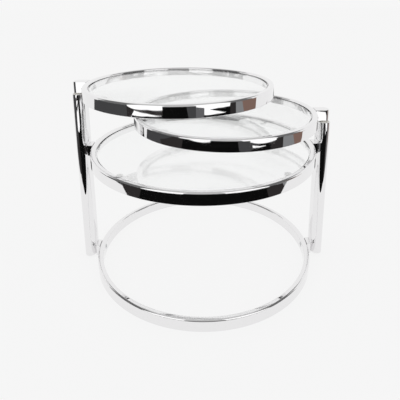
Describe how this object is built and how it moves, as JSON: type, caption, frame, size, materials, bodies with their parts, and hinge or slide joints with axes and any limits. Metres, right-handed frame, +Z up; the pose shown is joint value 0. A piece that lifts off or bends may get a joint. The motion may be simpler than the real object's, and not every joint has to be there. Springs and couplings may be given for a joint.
{
  "type": "tiered side table",
  "caption": "Round tiered side table: chrome ring frame with a fixed lower glass shelf and smaller glass tiers that swivel out on flat-oval uprights.",
  "frame": {"origin": "centre of the base ring on the floor, the bottom centre of the bounding box", "axes": "+X towards the upright that carries the middle tier, +Y away from the front, +Z up"},
  "size_m": [0.568, 0.5, 0.427],
  "materials": {
    "chrome": "polished chrome plate on steel",
    "glass": "clear float glass",
    "black_plastic": "moulded plastic",
    "white_nylon": "natural nylon",
    "zinc_steel": "bright zinc plated steel"
  },
  "bodies": {
    "frame": {"base_ring": "chrome", "left_base_lug": "chrome", "left_bearing_plug": "white_nylon", "left_foot_plug": "black_plastic", "left_lower_lug": "chrome", "left_upright": "chrome", "lower_glass": "glass", "lower_ring": "chrome", "lower_tab_1": "chrome", "lower_tab_2": "chrome", "lower_tab_3": "chrome", "lower_tab_4": "chrome", "right_base_lug": "chrome", "right_bearing_plug": "white_nylon", "right_foot_plug": "black_plastic", "right_lower_lug": "chrome", "right_upright": "chrome"},
    "middle_tier": {"middle_arm": "chrome", "middle_glass": "glass", "middle_lock_nut": "zinc_steel", "middle_pivot_pin": "zinc_steel", "middle_ring": "chrome", "middle_tab_1": "chrome", "middle_tab_2": "chrome", "middle_tab_3": "chrome", "middle_tab_4": "chrome"},
    "top_tier": {"top_arm": "chrome", "top_glass": "glass", "top_lock_nut": "zinc_steel", "top_pivot_pin": "zinc_steel", "top_ring": "chrome", "top_tab_1": "chrome", "top_tab_2": "chrome", "top_tab_3": "chrome", "top_tab_4": "chrome"}
  },
  "joints": [
    {"name": "middle_swivel", "type": "hinge", "parent": "frame", "child": "middle_tier", "pos_m": [0.2715, 0, 0.333], "axis": [0, 0, 1], "continuous": true},
    {"name": "top_swivel", "type": "hinge", "parent": "frame", "child": "top_tier", "pos_m": [-0.2715, 0, 0.402], "axis": [0, 0, 1], "continuous": true}
  ]
}
